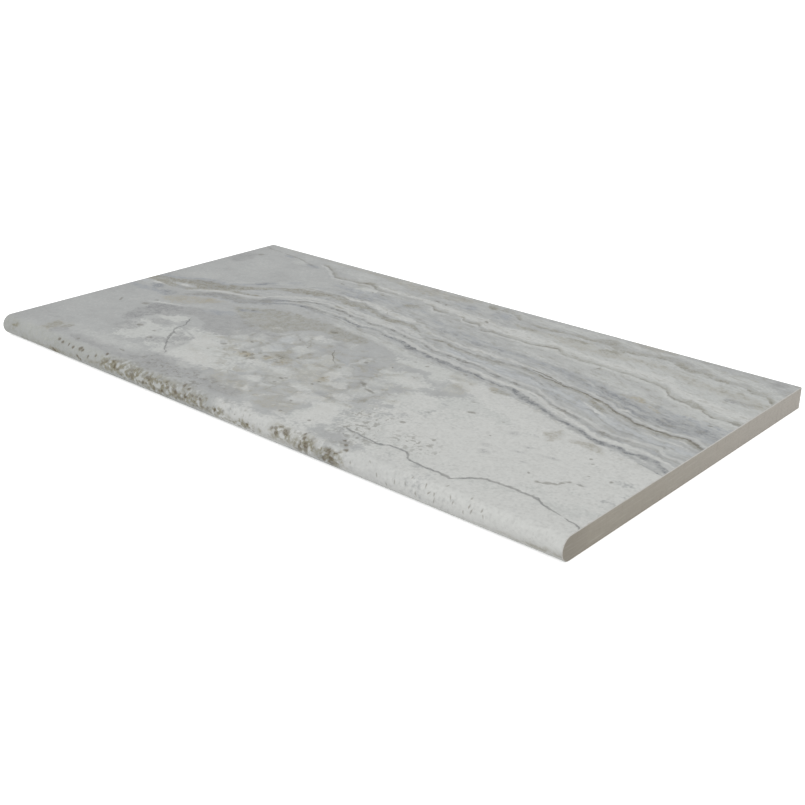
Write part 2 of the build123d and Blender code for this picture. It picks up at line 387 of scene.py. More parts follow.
DARK_MARKS = [
    (-94, 268, 3, 1.6), (-280, 284, 4, 4), (-147, 269, 3.4, 1.4, -20), (-107, 268, 3, 1.6, -30),
    (-33, 288, 4, 2.4, -40), (-45, 290, 4, 2.4), (-77, 287, 4, 1.6), (284, 203, 3, 2), (-236, 101, 6, 5),
    (-238, 113, 4, 2.4, 20), (-171, 59, 3, 2.4), (-193, 60, 4, 3, -30), (-88, 98, 4, 2, -30),
    (-62, 128, 4, 1.4, -40), (-103, 78, 3, 3), (-104, 62, 2, 2), (-10, 57, 2.4, 2.4), (-9, 48, 2.6, 2),
    (-8, 60, 2, 1.6), (44, 92, 8, 3, -30), (58, 85, 8, 2.4, -20), (142, 105, 5.5, 3),
    (131, 121, 4, 1.6, 20), (169, 107, 3, 1.6), (177, 81, 1.8, 1.6), (280, 76, 3, 3), (256, 91, 1.8, 1.6),
    (251, 98, 1.8, 1.6), (232, 51, 1.8, 1.6), (263, 73, 1.8, 1.6), (116, 57, 3, 2.4),
    (153, 48, 3.4, 1.6, -30), (118, 85, 2, 1.8), (28, 30, 3, 1.6, -20), (36, 12, 2, 1.8), (64, 13, 2.4, 2),
    (38, 135, 3, 1.8, -40), (15, 128, 3, 2.4), (12, 80, 2.4, 2.4), (17, 72, 2, 2), (17, 65, 2.4, 2),
    (244, 45, 4, 2.4, 10), (249, 47, 4.6, 2.6, 30), (254, 49, 4, 2, 15), (257.5, 53, 4, 2, 60),
    (259.5, 57.5, 4, 2.2, 30), (267, 58.5, 4, 1.6, 10), (-265, 94, 6, 1.6, -50), (-54, 163, 5, 3),
    (-150, 155, 4, 2.4), (26, 275, 5, 1.6, -35), (-153, 11, 5, 2), (-201, 3, 3, 2), (-75, 76, 4, 2.4),
    (-68, 71, 3.4, 2, -40), (-64, 83, 3, 2), (-55, 82, 3, 2.4), (-59, 71, 3, 3), (-32, 97, 2.4, 2),
    (57, 155, 2, 1.8), (44, 156, 2, 1.8), (91, 160, 2.4, 1.8), (160, 246, 3, 1.6, 60), (-160, 46, 4, 2),
]
SOFT_MARKS = [
    (183, 67, 7, 6), (189, 57, 7, 5), (207, 72, 9, 3, 10), (228, 80, 13, 3, 8), (220, 62, 7, 2, 10),
    (208, 84, 9, 3, 20), (186, 96, 7, 6), (267, 60, 6, 3), (-262, 24, 18, 3, 20), (-300, 92, 8, 4),
    (-283, 28, 6, 3),
]
SPECKLED = [
    (146, 34, 36, 22, -14), (84, 50, 18, 20, -40), (100, 30, 22, 46), (96, 24, 16, 26), (-66, 76, 14, 13),
    (-40, 84, 16, 14), (-70, 10, 76, 16), (48, 90, 12, 5, -28), (-120, 14, 26, 12), (112, 16, 26, 16),
]
NOSE_STAINED = [
    (-139, -9, 12, 8), (-128, -15, 9, 5), (-100, -12, 12, 8), (-76, -12, 12, 9), (-48, -11, 10, 8),
    (-38, -14, 14, 6), (20, -14, 10, 4), (58, -8, 13, 7), (80, -11, 11, 9), (105, -12, 12, 9),
    (-222, -18, 16, 5), (-284, -9, 10, 6),
]
NOSE_PALE = [(20, -14, 60, 20), (150, -8, 60, 26), (64, -10, 50, 18)]

# Crust of the nose: along, back, the two half lengths, strength
NOSE_PITTED = [
    (-146, -9, 14, 10, 1), (-122, -9, 36, 13, 1), (-94, -11, 30, 15, 1), (-70, -11, 34, 15, 1),
    (-44, -10, 34, 12, 0.8), (58, -8, 18, 8, 1), (81, -10, 15, 15, 1), (106, -11, 16, 16, 1),
    (18, -16, 22, 4, 0.9), (112, 0, 10, 9, 1), (-14, -14, 18, 6, 0.8), (-10, -7, 60, 14, 0.6),
    (30, -8, 50, 13, 0.55), (-100, 1, 64, 13, 0.65), (80, 0, 40, 12, 0.5), (-190, -9, 50, 9, 0.35),
]

# Round pits in the nose: along, back, radius
NOSE_PITS = [
    (-217, -6, 2), (-211, -8, 1.7), (-203, -8, 1.6), (-195, -8, 1.7), (-186, -7, 1.9), (-183, -8, 1.5),
    (-174, -11, 1.8), (-164, -8, 1.5), (-223, -18, 2.6), (-188, -15, 1.8), (-185, -16, 1.6),
    (-154, -3, 1.8), (-60, -12, 2.6), (-55, -3, 2.4), (-47, -5, 1.5), (-41, -9, 1.6), (-32, -10, 1.6),
    (-13, -13, 1.8), (77, -3, 2), (79, -7, 2.2), (83, -13, 2.6), (60, -8, 2.6), (117, -4, 2.2),
    (108, 6, 1.8), (113, 2, 1.8), (104, -10, 3.2), (108, -14, 3.2), (101, -16, 2.6),
]

# Short strokes on the nose: along, back, turn in degrees
NOSE_STROKES = [
    (126, -11, 0), (151, -12, 20), (159, -16, -20), (166, -12, 10), (175, -10, 30), (179, -4, 0),
    (191, -6, 15), (195, -10, -30), (199, -10, 10), (201, -14, 0), (213, -8, 20), (216, -10, -10),
    (224, -13, 10), (228, -8, 0), (231, -11, -15), (238, -8, 10), (240, -12, 0), (226, -2, 30),
    (204, 0, -20), (142, -6, 40), (186, -14, 0),
]


def tone(red, green, blue):
    """The linear colour that shows as these 8-bit levels."""
    shares = (level / 255 for level in (red, green, blue))
    return tuple(s / 12.92 if s <= 0.04045 else ((s + 0.055) / 1.055) ** 2.4 for s in shares)


def length_setting(name, description, default):
    """A length in metres."""
    return FloatProperty(
        name=name,
        description=description,
        default=default,
        min=0,
        precision=5,
        unit="LENGTH",
        subtype="DISTANCE",
    )


def angle_setting(name, description, degrees):
    """An angle, given in degrees."""
    return FloatProperty(name=name, description=description, default=math.radians(degrees), subtype="ANGLE")


def colour_setting(name, description, *levels):
    """A colour, given as 8-bit levels."""
    return FloatVectorProperty(
        name=name,
        description=description,
        default=tone(*levels),
        min=0,
        max=1,
        size=3,
        subtype="COLOR",
    )


class CopingSizes(bpy.types.PropertyGroup):
    """Sizes of the tile."""

    length: length_setting("Length", "Along the pool edge", TILE_HIGH.x - TILE_LOW.x)
    depth: length_setting("Depth", "From the tip of the nose to the back edge", 2 * TILE_HIGH.y)
    thickness: length_setting("Thickness", "The nose is a half circle over it", TILE_HIGH.z - TILE_LOW.z)
    arris: length_setting("Arris", "Narrow bevel ground along every sawn edge", 0.5 * MM)
    key_cell: length_setting("Key cell", "Side of one square recess in the underside", 24 * MM)
    key_rib: length_setting("Key rib", "Rib between two recesses", 6 * MM)
    key_border: length_setting("Key border", "Least plain border round the recesses", 14 * MM)
    key_depth: length_setting("Key depth", "Depth of a recess", 0.8 * MM)
    key_draft: angle_setting("Key draft", "Slope of a recess wall", 30)
    pit_depth: length_setting("Pit depth", "Depth of a pit or a crack pressed into the glazed face", 0.5 * MM)
    swell: length_setting("Swell", "Slow unevenness of the glazed face", 0.12 * MM)
    step: length_setting("Step", "Column spacing of the glazed face's mesh", 1.15 * MM)


class CopingColours(bpy.types.PropertyGroup):
    """Colours of the print and of the bare body."""

    ground: colour_setting("Ground", "Grey of the plain print", 172, 174, 173)
    pale: colour_setting("Pale", "Pale fields", 189, 191, 188)
    bright: colour_setting("Bright", "Palest field, at the front", 197, 198, 195)
    beige: colour_setting("Beige", "Warm washes", 159, 157, 148)
    brown: colour_setting("Brown", "Brown-grey bands", 139, 137, 126)
    grey: colour_setting("Grey", "Grey washes", 151, 152, 152)
    dark_grey: colour_setting("Dark grey", "Darkest grey patches", 135, 136, 137)
    blue: colour_setting("Blue", "Cool blue-grey washes", 146, 150, 155)
    frost: colour_setting("Frost", "Pale cool strips", 181, 185, 188)
    ochre: colour_setting("Ochre", "Warm yellowish patches", 157, 151, 134)
    vein: colour_setting("Vein", "Dark brown veins", 110, 107, 97)
    slate: colour_setting("Slate", "Dark blue-grey veins and cracks", 102, 105, 109)
    olive: colour_setting("Olive", "Grey-green tint of the nose", 146, 148, 138)
    # Stain also carries painted shade along the foot and underside of the nose.
    stain_and_shade: colour_setting("Stain", "Olive stains on the nose", 126, 122, 104)
    pit: colour_setting("Pit", "Brown pits on the nose", 92, 82, 62)
    # Pale colour of the ground arris.
    slip: colour_setting("Slip", "Pale slip under the glaze, bare along the arris", 190, 189, 185)
    body: colour_setting("Body", "Bare porcelain of the sawn and pressed faces", 161, 155, 143)
    # Body specks also carry painted shade over the nose end of the bare faces; Body at the back is painted
    # light toward the back edge.
    body_dark_grain_and_shade: colour_setting("Body specks", "Darker grains in the bare porcelain", 138, 132, 122)
    body_back_painted_light: colour_setting("Body at the back", "Bare porcelain toward the back edge", 180, 175, 167)
    body_cloud: colour_setting("Body clouds", "Pale clouds in the bare porcelain", 186, 182, 173)
    grain_pale: colour_setting("Pale grain", "Pale grains of the print", 222, 222, 219)
    grain_dark: colour_setting("Dark grain", "Dark grains of the print", 112, 111, 108)
    grain_soft: colour_setting("Soft grain", "Coarser grey grains of the print", 140, 139, 136)


class CopingStage(bpy.types.PropertyGroup):
    """Floor, light and camera."""

    floor: colour_setting("Floor", "Pale floor", 236, 236, 236)
    floor_speck: colour_setting("Floor specks", "Specks of the floor", 228, 228, 228)
    sky: FloatProperty(name="Sky", description="Strength of the even light", default=0.62, min=0)
    lamp: FloatProperty(name="Lamp", description="Strength of the broad lamp", default=1.35, min=0)
    azimuth: angle_setting("Azimuth", "Camera round the tile", 40.857)
    elevation: angle_setting("Elevation", "Camera over the floor", 22.8)
    roll: angle_setting("Roll", "Camera about its own axis", 0.836)
    distance: length_setting("Distance", "Camera to the aim point", 1.020725)
    lens: FloatProperty(name="Lens", description="Focal length", default=54.256, unit="CAMERA")


class CopingSettings(bpy.types.PropertyGroup):
    """Everything that the sidebar lists."""

    sizes: PointerProperty(type=CopingSizes)
    colours: PointerProperty(type=CopingColours)
    stage: PointerProperty(type=CopingStage)


class Wire:
    """A node's socket. Arithmetic on it adds Math nodes; | takes the larger value and & the smaller."""

    def __init__(self, bench, socket):
        self.bench = bench
        self.socket = socket

    def math(self, operation, other=0.0):
        return self.bench.add("ShaderNodeMath", {"operation": operation}, {0: self, 1: other})

    def __add__(self, other):
        return self.math("ADD", other)

    def __sub__(self, other):
        return self.math("SUBTRACT", other)

    def __rsub__(self, other):
        return self.bench.add("ShaderNodeMath", {"operation": "SUBTRACT"}, {0: other, 1: self})

    def __mul__(self, other):
        return self.math("MULTIPLY", other)

    def __truediv__(self, other):
        return self.math("DIVIDE", other)

    def __abs__(self):
        return self.math("ABSOLUTE")

    def __or__(self, other):
        return self.math("MAXIMUM", other)

    def __and__(self, other):
        return self.math("MINIMUM", other)

    __radd__ = __add__
    __rmul__ = __mul__


class Bench:
    """The nodes of one material."""

    def __init__(self, name):
        self.material = bpy.data.materials.new(name)
        self.material.use_nodes = True
        self.tree = self.material.node_tree
        self.tree.nodes.clear()

    def add(self, kind, settings, sockets, *outputs):
        """Adds a node with its settings, then its values or links. Returns the named outputs' wires."""
        made = self.tree.nodes.new(kind)
        for name, value in settings.items():
            if name == "points":
                self.draw_curve(made.mapping, value)
            else:
                setattr(made, name, value)
        for name, value in sockets.items():
            socket = made.inputs[name]
            if isinstance(value, Wire):
                self.tree.links.new(value.socket, socket)
            elif socket.type == "RGBA":
                socket.default_value = (*value, 1)
            else:
                socket.default_value = value
        if not len(made.outputs):
            return None
        wires = [Wire(self, made.outputs[name]) for name in outputs or (0,)]
        return wires[0] if len(wires) == 1 else wires

    @staticmethod
    def draw_curve(mapping, places):
        mapping.use_clip = False
        mapping.extend = "HORIZONTAL"
        points = mapping.curves[0].points
        points[0].location = places[0]
        points[1].location = places[-1]
        for place in places[1:-1]:
            points.new(*place)
        for point in points:
            point.handle_type = "AUTO_CLAMPED"
        mapping.update()

    def ramp(self, value, start, end):
        """0 at start and 1 at end, eased at both."""
        sockets = {"Value": value, "From Min": start, "From Max": end}
        return self.add("ShaderNodeMapRange", {"interpolation_type": "SMOOTHSTEP"}, sockets, "Result")

    def mix(self, under, over, share):
        return self.add("ShaderNodeMix", {"data_type": "RGBA"}, {0: share, 6: under, 7: over}, 2)

    def vector(self, operation, first, second, third=(0, 0, 0)):
        return self.add("ShaderNodeVectorMath", {"operation": operation}, {0: first, 1: second, 2: third})

    def grain(self, place, size, seed, detail=2.0, roughness=0.55, output="Fac"):
        """Noise with features of these two sizes in millimetres."""
        start = (17.3 * seed, 5.9 * seed, 3.1 * seed)
        stretched = self.vector("MULTIPLY_ADD", place, (1 / size[0], 1 / size[1], 1), start)
        sockets = {"Vector": stretched, "Scale": 1.0, "Detail": detail, "Roughness": roughness}
        return self.add("ShaderNodeTexNoise", {"noise_dimensions": "3D"}, sockets, output)

    def place(self):
        """The place on the object, in millimetres."""
        metres = self.add("ShaderNodeTexCoord", {}, {}, "Object")
        return self.vector("MULTIPLY", metres, (1 / MM, 1 / MM, 1 / MM))

    def shift(self, place, size, reach, seed):
        """The place moved about by noise, so that drawn shapes get ragged."""
        cloud = self.grain(place, (size, size), seed, 2.0, 0.6, "Color")
        push = self.vector("SUBTRACT", cloud, (0.5, 0.5, 0.5))
        return self.vector("MULTIPLY_ADD", push, (reach, reach, 0), place)

    def surface(self, colour, roughness, height, lift):
        """Ends the material in a shader with a bump."""
        sockets = {"Strength": 1.0, "Distance": lift, "Height": height}
        normal = self.add("ShaderNodeBump", {}, sockets, "Normal")
        sockets = {"Base Color": colour, "Roughness": roughness, "Normal": normal, "IOR": 1.5}
        shader = self.add("ShaderNodeBsdfPrincipled", {}, sockets, "BSDF")
        self.add("ShaderNodeOutputMaterial", {}, {"Surface": shader})
        return self.material


class FacePrint:
    """The print of the glazed face, painted layer on layer."""

    def __init__(self, bench, sizes, ground):
        self.bench = bench
        self.colour = ground
        place = bench.add("ShaderNodeTexCoord", {}, {}, "Object")
        x, y, z = bench.add("ShaderNodeSeparateXYZ", {}, {"Vector": place}, "X", "Y", "Z")
        radius = sizes.thickness / 2
        ahead = radius - sizes.depth / 2 - y
        round_nose = (ahead | 0.0).math("ARCTAN2", z - radius) * radius
        back = ((0.0 - ahead) | 0.0) - round_nose
        self.true_along, self.true_back = x / MM, back / MM
        self.true = bench.add("ShaderNodeCombineXYZ", {}, {"X": self.true_along, "Y": self.true_back})
        self.fine = bench.shift(bench.shift(self.true, 14, 6, 1), 4.5, 2.6, 2)
        self.rough = bench.shift(self.fine, 24, 22, 3)
        self.along, self.back = bench.add("ShaderNodeSeparateXYZ", {}, {"Vector": self.fine}, "X", "Y")
        self.grit = bench.grain(self.true, (2.1, 2.1), 5, 1.0, 0.5)
        self.sand = bench.grain(self.true, (5.5, 5.5), 6, 1.0, 0.6)
        self.speckle = bench.ramp(0.65 * self.grit + 0.35 * self.sand, 0.42, 0.58)
        self.press = bench.ramp(bench.grain(self.true, (15, 15), 7), 0.36, 0.62)
        self.stroke = 0.45 + 0.5 * self.grit + 0.6 * self.sand
        self.rim = bench.grain(self.true, (13, 11), 8, 3.0, 0.65) - 0.5

    def paint(self, colour, share):
        self.colour = self.bench.mix(self.colour, colour, share)

    def wash(self, colour, share, grain=0.85):
        """Paints a tint that shows the grain of the print."""
        self.paint(colour, share * (1 - 0.7 * grain + 1.1 * grain * self.speckle))

    def curve(self, along, places):
        return self.bench.add("ShaderNodeFloatCurve", {"points": places}, {"Value": along}, "Value")

    def line(self, places, soft, fade=None, steep=False, aside=0.0, widen=1.0):
        """1 along a drawn line, or aside from it. Its rim is as wide as soft, on its back side as fade."""
        along, across = (self.back, self.along) if steep else (self.along, self.back)
        half = self.curve(along, [(a, widen * half) for a, c, half in places]) * self.stroke
        side = across - self.curve(along, [(a, c + aside) for a, c, half in places])
        if fade is None:
            return self.bench.ramp(half - abs(side), 0.0, soft)
        return self.bench.ramp(half + side, 0.0, soft) * self.bench.ramp(half - side, 0.0, fade)

    def field(self, ellipses, place, soft=0.35, ragged=1.3):
        """1 inside drawn ellipses, with a ragged rim."""
        inside = None
        for along, back, half_along, half_back, *turn in ellipses:
            sockets = {
                "Vector": place,
                "Location": (along, back, 0),
                "Rotation": (0, 0, math.radians(sum(turn))),
                "Scale": (half_along, half_back, 1),
            }
            local = self.bench.add("ShaderNodeMapping", {"vector_type": "TEXTURE"}, sockets)
            settings = {"gradient_type": "SPHERICAL"}
            cone = self.bench.add("ShaderNodeTexGradient", settings, {"Vector": local}, "Fac")
            inside = cone if inside is None else inside | cone
        torn = ragged * (self.rim + 0.35 * (self.grit - 0.5)) * self.bench.ramp(inside, 0.0, 0.1)
        return self.bench.ramp(inside + torn, 0.05, 0.05 + soft)


def printed_glaze(sizes, colours):
    """Matt glaze with the stone print."""
    bench = Bench("printed_glaze")
    face = FacePrint(bench, sizes, colours.ground)

    # Clouds and the pale fields
    cloud = bench.grain(face.rough, (42, 30), 11, 3.0)
    mottle = bench.grain(face.rough, (12, 9), 12, 2.0, 0.65)
    face.wash(colours.grey, 0.2, 1.0)
    face.paint(colours.pale, 0.25 * bench.ramp(cloud, 0.52, 0.68))
    face.wash(colours.grey, 0.35 * bench.ramp(cloud, 0.5, 0.34))
    face.paint(colours.pale, 0.95 * face.field(PALE_FIELDS, face.rough, 0.3))
    face.paint(colours.bright, 0.9 * face.field(BRIGHT_FIELDS, face.rough, 0.4))
    face.paint(colours.bright, 0.85 * face.line(WHITE_FRONT, 5))
    face.paint(colours.pale, 0.7 * face.line(PALE_RIGHT, 22))
    face.wash(colours.beige, 0.62 * face.line(BEIGE_TOP, 5))
    face.wash(colours.beige, 0.7 * face.field(BEIGE_FIELDS, face.rough, 0.6))
    face.wash(colours.grey, 0.9 * face.line(GREY_ARM, 3, fade=8))
    face.wash(colours.brown, 0.55 * face.line(BROWN_FIELD, 8, fade=5) * (1.25 - 0.5 * mottle))
    face.wash(colours.grey, 0.42 * face.line(MIDDLE_GREY, 6))
    face.wash(colours.grey, 0.85 * face.field(GREY_FIELDS, face.rough, 0.4))
    face.wash(colours.dark_grey, 0.7 * face.field(DARK_GREY_FIELDS, face.fine, 0.25))
    face.wash(colours.grey, 0.7 * face.line(GREY_ARC, 5, steep=True))
    face.wash(colours.grey, 0.3 * bench.ramp(face.true_along, -278.0, -300.0))

    # Lobed middle
    middle = face.field(LOBED_MIDDLE, face.rough, 0.4)
    lobes = bench.vector("MULTIPLY", face.rough, (1 / 21, 1 / 17, 0))
    cells = {"Vector": lobes, "Scale": 1.0}
    rim = bench.add("ShaderNodeTexVoronoi", {"feature": "DISTANCE_TO_EDGE"}, cells, "Distance")
    tint = bench.add("ShaderNodeTexVoronoi", {"feature": "F1"}, cells, "Color")
    tint = bench.add("ShaderNodeSeparateColor", {}, {"Color": tint}, "Red")
    face.wash(colours.beige, 0.75 * middle * bench.ramp(mottle, 0.52, 0.4))
    face.wash(colours.blue, 0.25 * middle * bench.ramp(tint, 0.35, 0.1))
    core = bench.ramp(rim + 0.25 * mottle, 0.14, 0.34)
    face.paint(colours.pale, 0.65 * middle * core * bench.ramp(tint, 0.3, 0.7))
    face.wash(colours.brown, 0.5 * middle * bench.ramp(rim, 0.09, 0.0) * face.press)
    face.paint(colours.bright, 0.7 * face.field(WHITE_LOBES, face.rough, 0.6, 1.3))
    face.paint(colours.pale, 0.5 * face.field(PALE_LOBES, face.rough, 0.8))
    face.paint(colours.bright, 0.5 * face.line(WHITE_ARC, 4, steep=True))
    face.paint(colours.pale, 0.65 * face.line(CREAM_STRIP, 7))

    # Bands that follow the flow of the stone
    drift = face.back - face.curve(face.along, FLOW)
    bed = bench.add("ShaderNodeCombineXYZ", {}, {"X": face.along, "Y": drift})
    streak = bench.grain(bed, (44, 8), 21, 2.0, 0.65)
    layer = (6.0 * bench.grain(bed, (90, 20), 22, 2.0)).math("FRACT")
    bedded = bench.ramp(abs(drift - 7.0), 40.0, 24.0) * bench.ramp(face.along, -270.0, -190.0)
    face.paint(colours.pale, 0.6 * face.line(WHITE_TOP, 6))
    broken = 0.6 + 0.4 * bench.ramp(streak, 0.25, 0.5)
    face.paint(colours.bright, 0.75 * face.line(WHITE_UPPER, 5, fade=6) * broken)
    face.wash(colours.beige, 0.58 * face.line(BEIGE_UPPER, 7))
    face.wash(colours.grey, 0.38 * face.line(GREY_BELT, 7))
    face.wash(colours.ochre, 0.45 * face.line(WARM_BELT, 7, widen=1.2))
    face.wash(colours.blue, 0.65 * face.line(BLUE_BAND, 7) * bench.ramp(streak, 0.76, 0.4))
    face.paint(colours.frost, 0.6 * face.line(FROST_BAND, 6))
    face.wash(colours.slate, 0.55 * face.line(BLUE_CORE, 7) * bench.ramp(streak, 0.78, 0.36))
    face.wash(colours.blue, 0.4 * bedded * bench.ramp(layer, 0.55, 0.05))
    face.paint(colours.pale, 0.3 * bedded * bench.ramp(streak, 0.52, 0.66))
    face.wash(colours.brown, face.line(BROWN_SMEAR, 4) * bench.ramp(streak, 0.66, 0.4))
    face.paint(colours.bright, 0.75 * face.line(WHITE_OVER_BROWN, 3, fade=5))
    left = bench.ramp(face.along, -190.0, -225.0)
    face.wash(colours.blue, 0.7 * left * face.line(BROWN_BAND, 4, aside=6))
    face.wash(colours.blue, 0.6 * face.line(GREY_BAND, 3, fade=5, aside=-3))
    face.wash(colours.dark_grey, 0.65 * face.line(GREY_BAND, 3, fade=5) * bench.ramp(streak, 0.7, 0.42))
    face.wash(colours.brown, 0.4 * face.line(GREY_BAND, 3, fade=4) * bench.ramp(streak, 0.34, 0.56), 1.0)
    face.wash(colours.brown, 0.76 * face.line(BROWN_BAND, 3, fade=7, widen=1.1) * (1.4 - 0.8 * streak))
    core = face.line(BROWN_BAND, 2, fade=4, widen=0.8)
    face.wash(colours.vein, 0.2 * core * bench.ramp(streak, 0.58, 0.4))
    face.paint(colours.vein, 0.46 * face.line(BAND_EDGE, 2) * (0.4 + 0.9 * face.sand))
    face.wash(colours.brown, 0.8 * (face.line(BROWN_LOBE, 2) | face.line(BROWN_UNDER, 3)))
    face.paint(colours.vein, 0.4 * bedded * bench.ramp(abs(layer - 0.07), 0.07, 0.02) * face.press)
    face.wash(colours.blue, 0.9 * face.line(BLUE_STREAK, 4))
    face.wash(colours.blue, 0.7 * face.field(BLUE_FIELDS, face.fine, 0.5))
    face.paint(colours.frost, 0.5 * face.field(FROST_FIELDS, face.fine, 0.7))
    face.wash(colours.slate, 0.4 * face.field(SLATE_FIELDS, face.fine, 1.0, 0.9), 1.0)
    face.wash(colours.brown, 0.7 * face.field(BROWN_FIELDS, face.fine, 0.6))
    face.wash(colours.ochre, 0.8 * face.field(OCHRE_FIELDS, face.fine, 0.7))
    under = face.line(WHITE_UNDER_BROWN, 2.5, widen=0.9)
    face.paint(colours.bright, 0.58 * under * bench.ramp(streak, 0.3, 0.5))
    face.paint(colours.bright, 0.8 * face.line(WHITE_LOWER, 2))
    face.paint(colours.pale, 0.8 * face.line(PALE_EDGE, 1.2))
    face.paint(colours.bright, 0.8 * face.field(WHITE_STREAKS, face.fine, 0.6))
    face.paint(colours.pale, 0.55 * face.field(PALE_PATCHES, face.fine, 0.9, 0.9))
    face.wash(colours.grey, 0.7 * face.field(GREY_PATCHES, face.fine, 0.9, 0.9))

    # Flecks that lie along the flow, behind the front's plain fields
    banded = bench.ramp(drift, -44.0, -26.0) * bench.ramp(face.along, -190.0, -90.0)
    fleck = bench.grain(bed, (11, 3.4), 23, 1.0, 0.6)
    face.wash(colours.brown, 0.34 * banded * bench.ramp(fleck, 0.52, 0.68), 1.0)
    face.paint(colours.pale, 0.34 * banded * bench.ramp(fleck, 0.48, 0.34))

    # Veins, the sharper ones with a pale edge
    worn = (0.25 + 0.6 * face.press + 0.5 * (face.sand - 0.4)) & 1.0
    broad = face.line(UPPER_VEIN, 3, fade=7, aside=1.5, widen=1.7)
    face.wash(colours.brown, 0.62 * broad * bench.ramp(mottle, 0.74, 0.42))
    face.wash(colours.vein, 0.4 * worn * face.line(UPPER_VEIN, 1.5, aside=-1.5, widen=0.6))
    face.wash(colours.brown, 0.4 * face.line(SEAM, 2, fade=5, aside=2.5, widen=2))
    face.paint(colours.bright, 0.4 * face.line(SEAM, 1.2, aside=-3.4))
    seam = face.line(SEAM_LEFT, 1.4) | face.line(SEAM, 1.4, widen=0.9)
    face.paint(colours.vein, 0.54 * worn * seam)
    face.paint(colours.bright, 0.5 * face.line(MAIN_VEIN, 1.6, aside=4.6))
    face.wash(colours.brown, 0.55 * face.line(MAIN_VEIN, 4, fade=2, aside=-2.5, widen=1.8))
    sharp = face.line(MAIN_VEIN, 1.1, widen=0.85) | face.line(MAIN_VEIN_TWIN, 1)
    face.paint(colours.vein, (0.4 + 0.6 * worn) * sharp)
    face.paint(colours.bright, 0.5 * face.line(GREY_LINE, 1.5, aside=4.2))
    face.wash(colours.slate, 0.55 * worn * face.line(GREY_LINE, 2) * bench.ramp(face.along, 150.0, 90.0))
    face.wash(colours.vein, 0.5 * worn * (face.line(GREY_LINE, 2) | face.line(FAINT_LINE, 1.4)))
    face.paint(colours.bright, 0.5 * face.line(BLUE_LINE, 1.6, aside=5))
    cool = face.line(BLUE_LINE, 2.4) | face.line(BLUE_LINE_LOW, 1.4)
    face.wash(colours.slate, (0.38 + 0.35 * worn) * cool)

    # Cracks, marks and specks
    crack = face.line(FRONT_CRACK, 1.1, widen=1.15) | face.line(LEFT_CRACK, 1.2, steep=True, widen=1.1)
    face.paint(colours.vein, 0.4 * crack)
    face.paint(colours.slate, 0.5 * crack * (0.5 + 0.5 * face.press))
    face.paint(colours.vein, 0.75 * face.line(BROWN_THREAD, 0.9))
    face.paint(colours.vein, 0.6 * face.field(DARK_MARKS, face.fine, 0.6))
    face.wash(colours.grey, 0.6 * face.field(SOFT_MARKS, face.fine, 1.0), 1.0)
    flecks = bench.ramp(bench.grain(face.fine, (3.6, 3.2), 15, 1.0, 0.6), 0.52, 0.64)
    face.paint(colours.vein, 0.5 * face.field(SPECKLED, face.fine, 0.7) * flecks)

    # Nose: stained, with ragged pits, and painted shade toward its foot
    nose = bench.ramp(face.true_back, 2.0, -7.0)
    face.wash(colours.olive, 0.38 * nose * bench.ramp(face.true_along, 40.0, -130.0))
    face.paint(colours.bright, 0.75 * face.field(NOSE_PALE, face.fine, 0.5))
    crust = bench.add("ShaderNodeAttribute", {"attribute_name": "crust"}, {}, "Fac") + 0.5 * (face.grit - 0.5)
    thick = [place for *place, strength in NOSE_PITTED if strength > 0.7]
    pitted = face.field(thick, face.fine, 0.6)
    stained = face.field(NOSE_STAINED, face.fine, 0.8)
    # Stains and hollows grow stronger toward the underside of the nose, partly as painted shade.
    low = 0.35 + 0.65 * bench.ramp(face.true_back, 0.0, -12.0)
    # Dark olive line along the foot of the nose: partly stain, partly painted shade where the nose turns
    # under.
    face.wash(colours.stain_and_shade, 0.6 * face.line(NOSE_FOOT, 6) * bench.ramp(crust, 0.7, 0.0))
    face.wash(colours.stain_and_shade, low * (0.65 * pitted | stained) * bench.ramp(crust, 0.6, 0.0))
    # Pale on the crust's bumps: printed pale lumps, partly a painted highlight where the bumps face the
    # light.
    face.paint(colours.pale, 0.45 * pitted * bench.ramp(crust, 0.15, 0.6))
    rounds = [(a, b, PIT_SPREAD * radius, PIT_SPREAD * radius) for a, b, radius in NOSE_PITS]
    drilled = face.field(rounds, face.fine, 0.7, 0.8)
    slots = [(a, b, 0.9, 2.4, turn) for a, b, turn in NOSE_STROKES]
    strokes = face.field(slots, face.fine, 0.8, 0.6)
    hollow = low * bench.ramp(crust, -0.25, -0.7) * (0.55 + 0.45 * stained)
    pits = hollow | 0.9 * drilled | 0.6 * strokes
    face.paint(colours.pit, 0.85 * pits)

    # Grain of the print
    face.paint(colours.grain_pale, 0.15 * bench.ramp(face.grit, 0.5, 0.72))
    face.paint(colours.grain_dark, 0.12 * bench.ramp(face.grit, 0.5, 0.28))
    face.paint(colours.grain_soft, 0.08 * bench.ramp(face.sand, 0.5, 0.3))
    roughness = 0.5 + 0.2 * face.sand + 0.15 * pits
    height = 0.35 * face.grit + 0.6 * mottle - crack
    return bench.surface(face.colour, roughness, height, 0.12 * MM)


